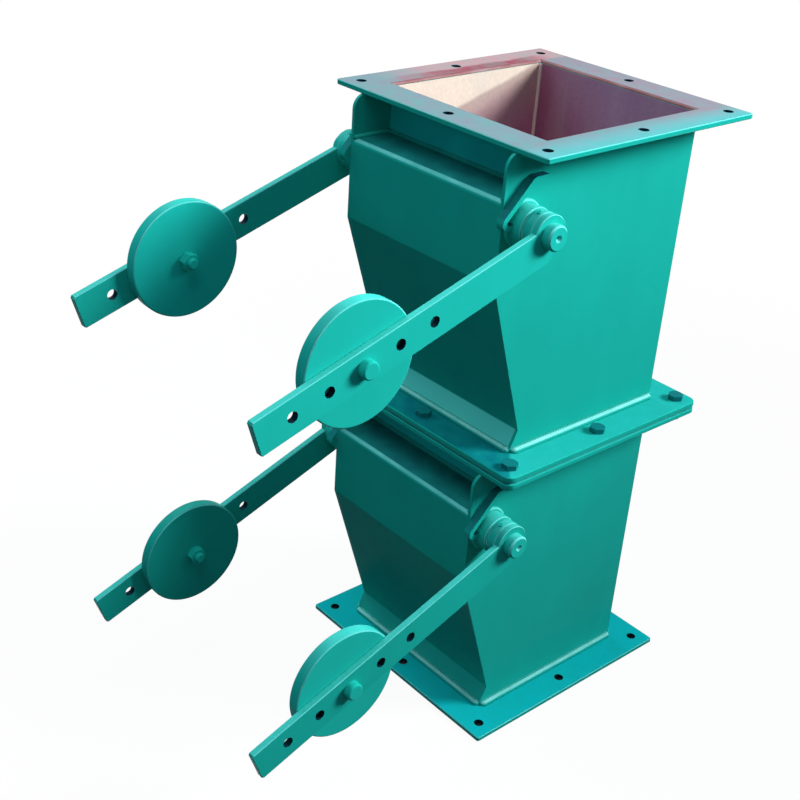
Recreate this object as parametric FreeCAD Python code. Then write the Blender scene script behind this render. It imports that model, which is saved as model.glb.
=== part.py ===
"""Double gravity flap valve: two bolted stages, each with a counterweighted flap.

Sizes are in millimetres, +Z is up, and -Y is the front, where the levers point. The origin is the
middle of the lower stage's outlet flange, on its lower face. Each stage is modelled standing on
z = 0 and then lifted to its place.
"""
import FreeCAD
import Part
import math
import os

# Flanges and the middle joint
STAGE_H = 368.5             # flange face to flange face, one stage
OPENING = 236.0             # clear duct width, and the casing's inside width
FLANGE_RIM = 43.0           # from the casing's outside to the flange's edge
FLANGE_T = 6.0
FLANGE_EDGE = 0.8           # chamfer round the flange
BOLT_INSET = 20.0           # hole middle to flange edge; more holes lie halfway
BOLT_HOLE_D = 12.0          # free flanges
JOINT_HOLE_D = 11.0         # closer holes of the middle joint
FREE_CORNER_R = 3.0         # the two free flanges are cut square
JOINT_CORNER_R = 12.0       # the two at the middle joint are rounded
GASKET_T = 3.0
GASKET_EDGE = 2.0           # how far the gasket stays inside the flange

# Casing sheets
PLATE_T = 4.0
PLATE_SET = 3.0             # sheets end this far inside a flange's face
BEND_R = 2.5                # inside radius of every fold
FOLD_BELOW = 66.0           # foot of the upright front face, below the shaft
FOOT_H = 26.0               # from the flange up to the foot of the slope
FOOT_IN = 9.0               # how far the slope runs in under the neck
FOOT_STAND = 6.0            # upright end of the flared foot, above the flange
CHEEK_R = 16.0              # rounded upper front corner of a side plate
LEDGE_CLEAR = 2.0           # above the turning cradle of the flap ribs
HINGE_CLEAR = 3.0           # in front of the same cradle

# Shaft and bearings
SHAFT_BELOW = 82.5          # below the stage's inlet face
SHAFT_D = 28.0
SHAFT_END = 11.0            # stands out beyond the lever
SHAFT_CHAMFER = 2.0
CENTRE_D = 8.0              # lathe centre in each shaft end
SHAFT_NECK_GAP = 10.0       # between the shaft and the neck plate
RUN_FIT = 0.06              # radial, shaft in bush
SEAT_FIT = 0.05             # radial, pieces seated round one another
END_PLAY = 0.5              # axial, lever hub to bush
BUSH_WALL = 3.0
BUSH_COLLAR_T = 2.0
BUSH_COLLAR_W = 4.0
BOSS_WALL = 6.0
BOSS_L = 20.0
EDGE_CHAMFER = 1.0
BRACKET_T = 6.0             # bent strip from boss to cheek
BRACKET_W = 10.0
BRACKET_BEND_R = 3.0
BRACKET_TILT = 45.0         # degrees, of its long arm
BRACKET_RISE = 14.0         # degrees, of its short arm to the boss
BRACKET_GAP = 5.5           # between the boss and the long arm
BRACKET_NOSE = 9.0          # how far its sharp corner lies before the casing's front
BRACKET_BELOW = 31.0        # its level end below the inlet flange
BRACKET_TAIL = 18.0         # length of that end

# Flap, seat and seal
FLAP_DROP = 25.0            # degrees below level, shut
FLAP_T = 6.0
FLAP_CLEAR = 6.0            # flap edge to casing wall
CRADLE_WALL = 8.0           # rib material round the shaft
FLAP_BELOW = 1.0            # flap's lower face below the shaft
RIB_T = 8.0
RIB_X = 60.0
RIB_DEPTH = 30.0            # under the flap, at its deepest
RIB_TAIL = 12.0             # under the flap, at the tail end
RIB_PEAK = 60.0             # where it is deepest, from the shaft
RIB_SHORT = 58.0            # how far it stops short of the flap's tail
SEAL_T = 5.0
SEAL_GAP = 0.3
SEAL_LAND = 16.0            # seat width that the seal covers
SEAT_T = 6.0
CLAMP_T = 4.0
CLAMP_CLEAR = 8.0           # clamp plate edge to seat opening
CLAMP_SCREW_D = 6.0
CLAMP_SCREW_INSET = 12.0
CLAMP_SCREW_ROWS = 3
SCREW_HEAD_D = 11.0
SCREW_HEAD_H = 3.3

# Levers and weights
LOWER_LEVER_DROP = 20.5     # degrees below level, flap shut
UPPER_LEVER_DROP = 17.5     # degrees, as above
LEVER_W = 40.0
LEVER_T = 8.0
LEVER_L = 375.0             # shaft axis to the free end
LEVER_SET = 9.0             # bar's middle line below the shaft's axis
LEVER_HEEL = 10.0           # rounding of the bar's lower corner at the shaft
LEVER_CORNER = 2.0
LEVER_EDGE = 0.8            # chamfer along the bar's edges
LEVER_HOLE_D = 12.0
LEVER_HOLE_LAST = 41.0      # outermost hole to the free end
LEVER_HOLE_PITCH = 43.5
LEVER_HOLES = 5
WEIGHT_HOLE = 2             # hole that carries the weight, counted from the outermost as 0
HUB_WALL = 8.0
HUB_L = 11.0
PIN_D = 5.0
PIN_PROUD = 1.5
WEIGHT_D = 131.0
WEIGHT_T = 14.0
WEIGHT_EDGE_R = 2.0
WEIGHT_BOLT_CLEAR = 0.25
ROUND_HEAD_D = 20.0
ROUND_HEAD_H = 9.0
ROUND_HEAD_R = 2.5

# Bolts and nuts of the middle joint and the weights
BOLT_D = 10.0
BOLT_AF = 17.0
BOLT_HEAD_H = 6.4
NUT_H = 8.4
WASHER_D = 20.0
WASHER_T = 2.0
WASHER_CLEAR = 0.25
THREAD_PROUD = 3.0
WEIGHT_NUT_AF = 18.0
WEIGHT_NUT_H = 10.0
WEIGHT_THREAD_PROUD = 5.0

# Places worked out from the sizes above
CASE_IN = OPENING / 2
CASE_OUT = CASE_IN + PLATE_T
FLANGE_W = 2 * (CASE_OUT + FLANGE_RIM)
BOLT_PITCH = FLANGE_W - 2 * BOLT_INSET
SHAFT_R = SHAFT_D / 2
CRADLE_R = SHAFT_R + CRADLE_WALL
SHAFT_Y = -(CASE_OUT + SHAFT_NECK_GAP + SHAFT_R)
SHAFT_Z = STAGE_H - SHAFT_BELOW
FOLD_Z = SHAFT_Z - FOLD_BELOW
FOOT_Z = FLANGE_T + FOOT_H
FRONT_Y = SHAFT_Y - CRADLE_R - HINGE_CLEAR - PLATE_T
LEDGE_Z = SHAFT_Z + CRADLE_R + LEDGE_CLEAR + PLATE_T
UNDER_INLET = STAGE_H - FLANGE_T
SHEET_TOP = STAGE_H - PLATE_SET
BUSH_R = SHAFT_R + RUN_FIT + BUSH_WALL
BOSS_R = BUSH_R + BOSS_WALL
BOSS_END = CASE_OUT + BOSS_L
HUB_START = BOSS_END + BUSH_COLLAR_T + END_PLAY
HUB_R = SHAFT_R + HUB_WALL
LEVER_IN = HUB_START + HUB_L
LEVER_OUT = LEVER_IN + LEVER_T
WEIGHT_REACH = LEVER_L - LEVER_HOLE_LAST - WEIGHT_HOLE * LEVER_HOLE_PITCH
# Corner radius and hole size of a flange
FREE_FLANGE = (FREE_CORNER_R, BOLT_HOLE_D)
JOINT_FLANGE = (JOINT_CORNER_R, JOINT_HOLE_D)
# Height of the outlet face, lever drop, inlet flange and outlet flange
STAGES = {
    "lower": (0.0, LOWER_LEVER_DROP, JOINT_FLANGE, FREE_FLANGE),
    "upper": (STAGE_H + GASKET_T, UPPER_LEVER_DROP, FREE_FLANGE, JOINT_FLANGE),
}
# Outside of the front sheet below its ledge, as (y, z)
FRONT_LINE = [(FRONT_Y, FOLD_Z), (-CASE_OUT + FOOT_IN, FOOT_Z), (-CASE_OUT, FLANGE_T + FOOT_STAND),
              (-CASE_OUT, PLATE_SET)]

# Flap frame: u runs from the shaft down the flap, n stands square to it, both from the shaft's axis
DROP = math.radians(FLAP_DROP)
FLAP_LOW = -(SHAFT_R + FLAP_BELOW)
FLAP_TOP = FLAP_LOW + FLAP_T
SEAL_TOP = FLAP_TOP + SEAL_T
SEAT_LOW = SEAL_TOP + SEAL_GAP
SEAT_TOP = SEAT_LOW + SEAT_T
FLAP_HALF = CASE_IN - FLAP_CLEAR
FLAP_START = CRADLE_R
FLAP_END = (CASE_IN - FLAP_CLEAR - SHAFT_Y - SEAL_TOP * math.sin(DROP)) / math.cos(DROP)
SEAT_HALF = FLAP_HALF - SEAL_LAND
SEAT_START = FLAP_START + SEAL_LAND
SEAT_END = FLAP_END - SEAL_LAND

X_AXIS = FreeCAD.Vector(1, 0, 0)
Y_AXIS = FreeCAD.Vector(0, 1, 0)
Z_AXIS = FreeCAD.Vector(0, 0, 1)
HOME = FreeCAD.Vector(0, 0, 0)


def box(x, y, z):
    """A block between the low and high values of each axis."""
    size = [high - low for low, high in (x, y, z)]
    return Part.makeBox(*size, FreeCAD.Vector(x[0], y[0], z[0]))


def rod(radius, start, end):
    """A cylinder along X on the X axis."""
    return Part.makeCylinder(radius, end - start, FreeCAD.Vector(start, 0, 0), X_AXIS)


def post(radius, x, y, low, high):
    """An upright cylinder."""
    return Part.makeCylinder(radius, high - low, FreeCAD.Vector(x, y, low), Z_AXIS)


def turned(profile, axis=X_AXIS):
    """A solid of revolution; the profile lists distance along the axis and radius."""
    across = Y_AXIS if axis == X_AXIS else X_AXIS
    points = [axis * along + across * radius for along, radius in profile]
    face = Part.Face(Part.makePolygon(points + points[:1]))
    return face.revolve(HOME, axis, 360)


def ring(inner, outer, start, end, chamfer):
    """A turned ring along X with chamfered outer edges."""
    return turned([(start, inner), (start, outer - chamfer), (start + chamfer, outer),
                   (end - chamfer, outer), (end, outer - chamfer), (end, inner)])


def side_point(x, point):
    """A point of an outline in the side view, given as (y, z)."""
    return FreeCAD.Vector(x, point[0], point[1])


def rounded_edges(x, points, radii):
    """Edges through the points of an open outline in the side view, with its corners rounded."""
    corners = [side_point(x, p) for p in points]
    edges = []
    last = corners[0]
    for before, corner, after, radius in zip(corners, corners[1:], corners[2:], radii):
        back = (before - corner).normalize()
        ahead = (after - corner).normalize()
        half = back.getAngle(ahead) / 2
        start = corner + back * (radius / math.tan(half))
        end = corner + ahead * (radius / math.tan(half))
        middle = (back + ahead).normalize() * (radius / math.sin(half) - radius) + corner
        edges.append(Part.LineSegment(last, start).toShape())
        edges.append(Part.Arc(start, middle, end).toShape())
        last = end
    edges.append(Part.LineSegment(last, corners[-1]).toShape())
    return edges


def beside(points, distance):
    """The corners of an open outline moved sideways, to the left of its direction."""
    lines = []
    for (y0, z0), (y1, z1) in zip(points, points[1:]):
        length = math.hypot(y1 - y0, z1 - z0)
        shift = (-(z1 - z0) / length * distance, (y1 - y0) / length * distance)
        lines.append(((y0 + shift[0], z0 + shift[1]), (y1 - y0, z1 - z0)))
    moved = [lines[0][0]]
    for (p, d), (q, e) in zip(lines, lines[1:]):
        t = ((q[0] - p[0]) * e[1] - (q[1] - p[1]) * e[0]) / (d[0] * e[1] - d[1] * e[0])
        moved.append((p[0] + d[0] * t, p[1] + d[1] * t))
    (p, d) = lines[-1]
    moved.append((p[0] + d[0], p[1] + d[1]))
    return moved


def folded_sheet(points, thickness, bend_r, x_start, x_end):
    """A bent sheet whose face follows the points; its thickness lies to their left."""
    turns = []
    for (y0, z0), (y1, z1), (y2, z2) in zip(points, points[1:], points[2:]):
        left = (y1 - y0) * (z2 - z1) - (z1 - z0) * (y2 - y1) > 0
        turns.append((bend_r + thickness, bend_r) if left else (bend_r, bend_r + thickness))
    inner_points = beside(points, thickness)
    outer = rounded_edges(x_start, points, [turn[0] for turn in turns])
    inner = rounded_edges(x_start, inner_points, [turn[1] for turn in turns])
    caps = [Part.LineSegment(side_point(x_start, points[i]), side_point(x_start, inner_points[i])).toShape()
            for i in (0, -1)]
    outline = Part.Wire(Part.__sortEdges__(outer + inner + caps))
    return Part.Face(outline).extrude(X_AXIS * (x_end - x_start))


def side_face(points, x_start, x_end):
    """A flat plate square to X from a closed outline of (y, z) points."""
    corners = [side_point(x_start, p) for p in points]
    return Part.Face(Part.makePolygon(corners + corners[:1])).extrude(X_AXIS * (x_end - x_start))


def on_shaft(shape, drop=0.0):
    """Takes a piece from the shaft's own axis to its place, dropped towards the rear or the front."""
    placed = shape.copy()
    placed.rotate(HOME, X_AXIS, -drop)
    placed.translate(FreeCAD.Vector(0, SHAFT_Y, SHAFT_Z))
    return placed


def mirrored(shape):
    """The left-hand twin of a right-hand piece."""
    return shape.mirror(HOME, X_AXIS)


def both(shape):
    """A right-hand piece and its left-hand twin."""
    return Part.makeCompound([shape, mirrored(shape)])


def seat_height(y):
    """Height of the seat frame's upper face at a place along Y."""
    return SHAFT_Z - (y - SHAFT_Y) * math.tan(DROP) + SEAT_TOP / math.cos(DROP)


def bolt_places():
    """Middles of the eight holes of a flange."""
    half = BOLT_PITCH / 2
    steps = (-half, 0.0, half)
    return [(x, y) for x in steps for y in steps if (x, y) != (0.0, 0.0)]


def square_frame(width, corner_r, hole_d, edge, low, high):
    """A square plate frame round the casing, with rounded corners, broken edges and eight bolt holes."""
    half = width / 2
    middle = (high - low) / 2
    plate = box((-half, half), (-half, half), (low, high))
    plate = plate.makeFillet(corner_r, [e for e in plate.Edges if e.BoundBox.ZLength > middle])
    if edge > 0:
        plate = plate.makeChamfer(edge, [e for e in plate.Edges if e.BoundBox.ZLength < middle])
    plate = plate.cut(box((-CASE_OUT, CASE_OUT), (-CASE_OUT, CASE_OUT), (low, high)))
    return plate.cut([post(hole_d / 2, x, y, low, high) for x, y in bolt_places()])


def side_plate():
    """Right side plate, let into both flanges, with a cheek before the inlet and the shaft hole."""
    outline = [(CASE_OUT, PLATE_SET), (CASE_OUT, SHEET_TOP), (-CASE_OUT, SHEET_TOP),
               (-CASE_OUT, UNDER_INLET), (FRONT_Y, UNDER_INLET)] + FRONT_LINE
    plate = side_face(outline, CASE_IN, CASE_OUT)
    cheek = [e for e in plate.Edges if e.BoundBox.XLength > PLATE_T / 2
             and e.BoundBox.YMax < SHAFT_Y and e.BoundBox.ZMin > SHAFT_Z]
    plate = plate.makeFillet(CHEEK_R, cheek)
    return plate.cut(on_shaft(rod(BUSH_R + SEAT_FIT, CASE_IN, CASE_OUT)))


def front_plate():
    """One folded sheet: ledge, upright face, slope and flared foot."""
    path = [(-CASE_OUT, LEDGE_Z), (FRONT_Y, LEDGE_Z)] + FRONT_LINE
    return folded_sheet(path, PLATE_T, BEND_R, -CASE_IN, CASE_IN)


def neck_plate():
    """Front wall of the inlet, from the flange down to the seat frame."""
    outline = [(-CASE_OUT, SHEET_TOP), (-CASE_OUT, seat_height(-CASE_OUT)),
               (-CASE_IN, seat_height(-CASE_IN)), (-CASE_IN, SHEET_TOP)]
    return side_face(outline, -CASE_IN, CASE_IN)


def rear_plate():
    """Flat rear wall between the side plates."""
    return box((-CASE_IN, CASE_IN), (CASE_IN, CASE_OUT), (PLATE_SET, SHEET_TOP))


def seat_frame():
    """Sloping frame that the seal closes against, trimmed upright at the front and rear walls."""
    reach = FLAP_END + 2 * SEAL_LAND + FLAP_CLEAR
    frame = box((-CASE_IN, CASE_IN), (0, reach), (SEAT_LOW, SEAT_TOP))
    frame = frame.cut(box((-SEAT_HALF, SEAT_HALF), (SEAT_START, SEAT_END), (SEAT_LOW, SEAT_TOP)))
    room = box((-CASE_IN, CASE_IN), (-CASE_OUT, CASE_IN), (0, STAGE_H))
    return on_shaft(frame, FLAP_DROP).common(room)


def bearing_boss():
    """Tube on the outside of the right side plate that holds the bush."""
    return on_shaft(ring(BUSH_R + SEAT_FIT, BOSS_R, CASE_OUT, BOSS_END, EDGE_CHAMFER))


def bush():
    """Collared bearing bush, from the side plate's inner face to the end of the boss."""
    bore = SHAFT_R + RUN_FIT
    collar_end = BOSS_END + BUSH_COLLAR_T
    return on_shaft(turned([(CASE_IN, bore), (CASE_IN, BUSH_R), (BOSS_END, BUSH_R),
                            (BOSS_END, BUSH_R + BUSH_COLLAR_W), (collar_end, BUSH_R + BUSH_COLLAR_W),
                            (collar_end, bore)]))


def bearing_bracket():
    """Bent strip on the right side plate: a short arm to the boss, a long slanting arm and a level end."""
    tilt = math.tan(math.radians(BRACKET_TILT))
    axis_z = SHAFT_Z + (BOSS_R + BRACKET_GAP) / math.cos(math.radians(BRACKET_TILT))
    nose_y = FRONT_Y - BRACKET_NOSE
    nose_z = axis_z + (nose_y - SHAFT_Y) * tilt
    arm_z = nose_z + (SHAFT_Y - nose_y) * math.tan(math.radians(BRACKET_RISE))
    knee_z = UNDER_INLET - BRACKET_BELOW
    knee_y = SHAFT_Y + (knee_z - axis_z) / tilt
    path = [(SHAFT_Y, arm_z), (nose_y, nose_z), (knee_y, knee_z), (knee_y + BRACKET_TAIL, knee_z)]
    strip = folded_sheet(path, BRACKET_T, BRACKET_BEND_R, CASE_OUT, CASE_OUT + BRACKET_W)
    return strip.cut(on_shaft(rod(BOSS_R + SEAT_FIT, CASE_OUT, CASE_OUT + BRACKET_W)))


def pin_hole(radius, length):
    """Cross pin through the right-hand lever hub and the shaft."""
    start = FreeCAD.Vector(HUB_START + HUB_L / 2, 0, -length / 2)
    return Part.makeCylinder(radius, length, start, Z_AXIS)


def shaft(drop):
    """Chamfered round shaft with a lathe centre in each end and the two cross pin holes."""
    end = LEVER_OUT + SHAFT_END
    half = turned([(0, 0), (0, SHAFT_R), (end - SHAFT_CHAMFER, SHAFT_R), (end, SHAFT_R - SHAFT_CHAMFER),
                   (end, CENTRE_D / 2), (end - CENTRE_D / 2, 0)])
    half = half.cut(pin_hole(PIN_D / 2 + SEAT_FIT, SHAFT_D))
    return on_shaft(half.fuse(mirrored(half)).removeSplitter(), -drop)


def flap_plate():
    """Flat flap, drilled for the clamp screws."""
    plate = box((-FLAP_HALF, FLAP_HALF), (FLAP_START, FLAP_END), (FLAP_LOW, FLAP_TOP))
    return on_shaft(plate.cut(screw_holes(FLAP_LOW, FLAP_TOP)), FLAP_DROP)


def flap_seal():
    """Rubber sheet on the flap."""
    sheet = box((-FLAP_HALF, FLAP_HALF), (FLAP_START, FLAP_END), (FLAP_TOP, SEAL_TOP))
    return on_shaft(sheet.cut(screw_holes(FLAP_TOP, SEAL_TOP)), FLAP_DROP)


def clamp_plate():
    """Wear plate that clamps the rubber sheet, inside the seat's opening."""
    half = SEAT_HALF - CLAMP_CLEAR
    span = (SEAT_START + CLAMP_CLEAR, SEAT_END - CLAMP_CLEAR)
    plate = box((-half, half), span, (SEAL_TOP, SEAL_TOP + CLAMP_T))
    return on_shaft(plate.cut(screw_holes(SEAL_TOP, SEAL_TOP + CLAMP_T)), FLAP_DROP)


def screw_places():
    """Middles of the clamp screws along both sides of the clamp plate."""
    x = SEAT_HALF - CLAMP_CLEAR - CLAMP_SCREW_INSET
    first = SEAT_START + CLAMP_CLEAR + CLAMP_SCREW_INSET
    last = SEAT_END - CLAMP_CLEAR - CLAMP_SCREW_INSET
    step = (last - first) / (CLAMP_SCREW_ROWS - 1)
    return [(side * x, first + row * step) for side in (-1, 1) for row in range(CLAMP_SCREW_ROWS)]


def screw_holes(low, high):
    """Clearance holes for the clamp screws."""
    return [post(CLAMP_SCREW_D / 2 + SEAT_FIT, x, y, low, high) for x, y in screw_places()]


def clamp_screws():
    """Low round-headed screws through clamp plate, seal and flap."""
    head_low = SEAL_TOP + CLAMP_T
    head_r = SCREW_HEAD_D / 2
    profile = [(FLAP_LOW, 0), (FLAP_LOW, CLAMP_SCREW_D / 2), (head_low, CLAMP_SCREW_D / 2),
               (head_low, head_r), (head_low + SCREW_HEAD_H - EDGE_CHAMFER, head_r),
               (head_low + SCREW_HEAD_H, head_r - EDGE_CHAMFER), (head_low + SCREW_HEAD_H, 0)]
    screws = []
    for x, y in screw_places():
        screw = turned(profile, Z_AXIS)
        screw.translate(FreeCAD.Vector(x, y, 0))
        screws.append(screw)
    return on_shaft(Part.makeCompound(screws), FLAP_DROP)


def flap_ribs():
    """Two tapering ribs under the flap that cradle the shaft at their front end."""
    start = RIB_X - RIB_T / 2
    end = RIB_X + RIB_T / 2
    tail = FLAP_END - RIB_SHORT
    bar = side_face([(0, FLAP_LOW), (0, -CRADLE_R), (RIB_PEAK, FLAP_LOW - RIB_DEPTH),
                     (tail, FLAP_LOW - RIB_TAIL), (tail, FLAP_LOW)], start, end)
    cradle = rod(CRADLE_R, start, end)
    cradle = cradle.cut(box((start, end), (-CRADLE_R, CRADLE_R), (FLAP_TOP, CRADLE_R)))
    rib = bar.fuse(cradle).cut(rod(SHAFT_R + SEAT_FIT, start, end)).removeSplitter()
    return on_shaft(both(rib), FLAP_DROP)


def lever(drop):
    """Right lever: a flat bar with a round eye for the shaft and a row of holes for the weight."""
    low = -LEVER_SET - LEVER_W / 2
    bar = box((LEVER_IN, LEVER_OUT), (-LEVER_L, 0), (low, low + LEVER_W))
    across = [e for e in bar.Edges if e.BoundBox.XLength > LEVER_T / 2]
    bar = bar.makeChamfer(LEVER_CORNER, [e for e in across if e.BoundBox.YMax < -LEVER_L / 2])
    heel = [e for e in bar.Edges if e.BoundBox.XLength > LEVER_T / 2 and e.BoundBox.YMin > -LEVER_W
            and e.BoundBox.ZMax < -LEVER_SET]
    bar = bar.makeFillet(LEVER_HEEL, heel).fuse(rod(HUB_R, LEVER_IN, LEVER_OUT)).removeSplitter()
    bar = bar.makeChamfer(LEVER_EDGE, [e for e in bar.Edges if e.BoundBox.XLength < LEVER_T / 2])
    holes = [rod(SHAFT_R + SEAT_FIT, LEVER_IN, LEVER_OUT)]
    for i in range(LEVER_HOLES):
        hole = rod(LEVER_HOLE_D / 2, LEVER_IN, LEVER_OUT)
        hole.translate(FreeCAD.Vector(0, LEVER_HOLE_LAST + i * LEVER_HOLE_PITCH - LEVER_L, -LEVER_SET))
        holes.append(hole)
    return on_shaft(bar.cut(holes), -drop)


def lever_hub(drop):
    """Ring on the inner face of the right lever, pinned to the shaft."""
    hub = ring(SHAFT_R + SEAT_FIT, HUB_R, HUB_START, LEVER_IN, EDGE_CHAMFER)
    return on_shaft(hub.cut(pin_hole(PIN_D / 2 + SEAT_FIT, 2 * HUB_R)), -drop)


def lever_pin(drop):
    """Cross pin of the right-hand hub."""
    return on_shaft(pin_hole(PIN_D / 2, 2 * (HUB_R + PIN_PROUD)), -drop)


def on_lever(shape, drop):
    """Takes a piece from the X axis to the lever hole that carries the weight."""
    placed = shape.copy()
    placed.translate(FreeCAD.Vector(0, -WEIGHT_REACH, -LEVER_SET))
    return on_shaft(placed, -drop)


def counterweight(drop):
    """Right disc weight, on the inner face of its lever."""
    disc = rod(WEIGHT_D / 2, LEVER_IN - WEIGHT_T, LEVER_IN)
    rims = [e for e in disc.Edges if e.Closed]
    disc = disc.makeFillet(WEIGHT_EDGE_R, rims)
    return on_lever(disc.cut(rod(LEVER_HOLE_D / 2, LEVER_IN - WEIGHT_T, LEVER_IN)), drop)


def weight_bolt(drop):
    """Round-headed bolt from the lever's outer face through the right weight."""
    shank_r = LEVER_HOLE_D / 2 - WEIGHT_BOLT_CLEAR
    tip = LEVER_IN - WEIGHT_T - WEIGHT_NUT_H - WEIGHT_THREAD_PROUD
    head = rod(ROUND_HEAD_D / 2, LEVER_OUT, LEVER_OUT + ROUND_HEAD_H)
    rim = [e for e in head.Edges if e.Closed and e.BoundBox.XMin > LEVER_OUT + ROUND_HEAD_H / 2]
    head = head.makeFillet(ROUND_HEAD_R, rim)
    shank = turned([(tip, 0), (tip, shank_r - EDGE_CHAMFER), (tip + EDGE_CHAMFER, shank_r),
                    (LEVER_OUT, shank_r), (LEVER_OUT, 0)])
    return on_lever(head.fuse(shank), drop)


def hexagon(across_flats, low, high):
    """A six-sided prism along Z with both rims chamfered to the turned shape of a nut."""
    corner = across_flats / math.sqrt(3)
    turns = [math.radians(60 * i) for i in range(6)]
    points = [FreeCAD.Vector(corner * math.cos(t), corner * math.sin(t), low) for t in turns]
    prism = Part.Face(Part.makePolygon(points + points[:1])).extrude(Z_AXIS * (high - low))
    bevel = (corner - across_flats / 2) * math.tan(math.radians(30))
    crown = turned([(low, 0), (low, across_flats / 2), (low + bevel, corner), (high - bevel, corner),
                    (high, across_flats / 2), (high, 0)], Z_AXIS)
    return prism.common(crown)


def weight_nut(drop):
    """Nut on the inner face of the right weight."""
    nut = hexagon(WEIGHT_NUT_AF, -WEIGHT_NUT_H, 0)
    nut = nut.cut(post(LEVER_HOLE_D / 2 - WEIGHT_BOLT_CLEAR + SEAT_FIT, 0, 0, -WEIGHT_NUT_H, 0))
    nut.rotate(HOME, Y_AXIS, 90)
    nut.translate(X_AXIS * (LEVER_IN - WEIGHT_T))
    return on_lever(nut, drop)


def stage(drop, inlet, outlet):
    """All pieces of one stage, by name, standing on its outlet face."""
    pieces = {
        "inlet_flange": square_frame(FLANGE_W, *inlet, FLANGE_EDGE, UNDER_INLET, STAGE_H),
        "outlet_flange": square_frame(FLANGE_W, *outlet, FLANGE_EDGE, 0, FLANGE_T),
        "front_plate": front_plate(),
        "neck_plate": neck_plate(),
        "rear_plate": rear_plate(),
        "seat_frame": seat_frame(),
        "bearing_brackets": both(bearing_bracket()),
        "shaft": shaft(drop),
        "flap_plate": flap_plate(),
        "flap_ribs": flap_ribs(),
        "flap_seal": flap_seal(),
        "clamp_plate": clamp_plate(),
        "clamp_screws": clamp_screws(),
        "lever_hubs": both(lever_hub(drop)),
        "lever_pins": both(lever_pin(drop)),
        "weight_bolts": both(weight_bolt(drop)),
        "weight_nuts": both(weight_nut(drop)),
    }
    pairs = {
        "side_plate": side_plate(),
        "bearing_boss": bearing_boss(),
        "bush": bush(),
        "lever": lever(drop),
        "counterweight": counterweight(drop),
    }
    for piece, right in pairs.items():
        pieces[piece + "_right"] = right
        pieces[piece + "_left"] = mirrored(right)
    return pieces


def at_bolts(make_one):
    """One copy of a fastener at each hole of the middle joint."""
    copies = []
    for x, y in bolt_places():
        piece = make_one()
        piece.translate(FreeCAD.Vector(x, y, 0))
        copies.append(piece)
    return Part.makeCompound(copies)


def middle_joint():
    """Gasket and fasteners between the stages: heads above, washers and nuts below."""
    low = UNDER_INLET
    high = STAGE_H + GASKET_T + FLANGE_T
    nut_top = low - WASHER_T
    nut_low = nut_top - NUT_H
    bolt_r = BOLT_D / 2

    def bolt():
        shank = turned([(nut_low - THREAD_PROUD, 0), (nut_low - THREAD_PROUD, bolt_r - EDGE_CHAMFER),
                        (nut_low - THREAD_PROUD + EDGE_CHAMFER, bolt_r), (high, bolt_r), (high, 0)], Z_AXIS)
        return hexagon(BOLT_AF, high, high + BOLT_HEAD_H).fuse(shank)

    def nut():
        return hexagon(BOLT_AF, nut_low, nut_top).cut(post(bolt_r + SEAT_FIT, 0, 0, nut_low, nut_top))

    def washer():
        return post(WASHER_D / 2, 0, 0, nut_top, low).cut(post(bolt_r + WASHER_CLEAR, 0, 0, nut_top, low))

    gasket_w = FLANGE_W - 2 * GASKET_EDGE
    return {
        "joint_gasket": square_frame(gasket_w, *JOINT_FLANGE, 0, STAGE_H, STAGE_H + GASKET_T),
        "joint_bolts": at_bolts(bolt),
        "joint_nuts": at_bolts(nut),
        "joint_washers": at_bolts(washer),
    }


def main():
    os.makedirs("parts", exist_ok=True)
    nodes = middle_joint()
    for name, (base, *sizes) in STAGES.items():
        for piece, shape in stage(*sizes).items():
            shape.translate(Z_AXIS * base)
            nodes[name + "_" + piece] = shape
    for node, shape in nodes.items():
        shape.exportStep("parts/" + node + ".step")
    print(len(nodes), "nodes, front at", round(FRONT_Y, 2), "ledge at", round(LEDGE_Z, 2),
          "lever from", round(LEVER_IN, 2), "to", round(LEVER_OUT, 2), "flap length", round(FLAP_END, 2))


main()
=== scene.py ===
# %% [markdown]
# A double flap valve: two equal sheet-steel stages bolted one above the other, each with a sloping flap
# that outside levers and disc weights hold shut. The solids come from the CAD model at their real size,
# so this script only dresses them: paint, primer, bare steel, weld beads and screw threads.

# %% Load the part
import math
import bmesh
import bpy
import numpy as np
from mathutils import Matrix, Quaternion, Vector


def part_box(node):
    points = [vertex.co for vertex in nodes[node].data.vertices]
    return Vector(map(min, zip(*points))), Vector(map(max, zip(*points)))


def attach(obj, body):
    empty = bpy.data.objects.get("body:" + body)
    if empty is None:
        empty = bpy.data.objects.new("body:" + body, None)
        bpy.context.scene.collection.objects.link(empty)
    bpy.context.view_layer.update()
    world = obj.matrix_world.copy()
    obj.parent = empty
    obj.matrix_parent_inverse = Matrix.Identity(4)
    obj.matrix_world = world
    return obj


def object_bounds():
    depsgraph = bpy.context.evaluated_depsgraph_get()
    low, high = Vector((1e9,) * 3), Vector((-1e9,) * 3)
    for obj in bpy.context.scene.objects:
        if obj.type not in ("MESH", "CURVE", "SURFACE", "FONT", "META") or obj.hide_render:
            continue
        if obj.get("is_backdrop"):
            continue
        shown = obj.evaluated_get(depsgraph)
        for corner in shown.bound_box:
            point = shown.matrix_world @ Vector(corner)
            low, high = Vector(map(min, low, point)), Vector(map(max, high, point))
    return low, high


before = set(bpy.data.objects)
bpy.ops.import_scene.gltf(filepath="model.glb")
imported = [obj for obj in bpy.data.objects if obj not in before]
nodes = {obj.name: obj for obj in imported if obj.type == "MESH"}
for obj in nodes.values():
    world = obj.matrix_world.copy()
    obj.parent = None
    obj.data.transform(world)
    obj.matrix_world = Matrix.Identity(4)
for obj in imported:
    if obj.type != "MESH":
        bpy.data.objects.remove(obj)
cad_low, cad_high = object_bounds()
print(len(nodes), "solids, box", [round(x, 3) for x in cad_high - cad_low], "metres")

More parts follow.
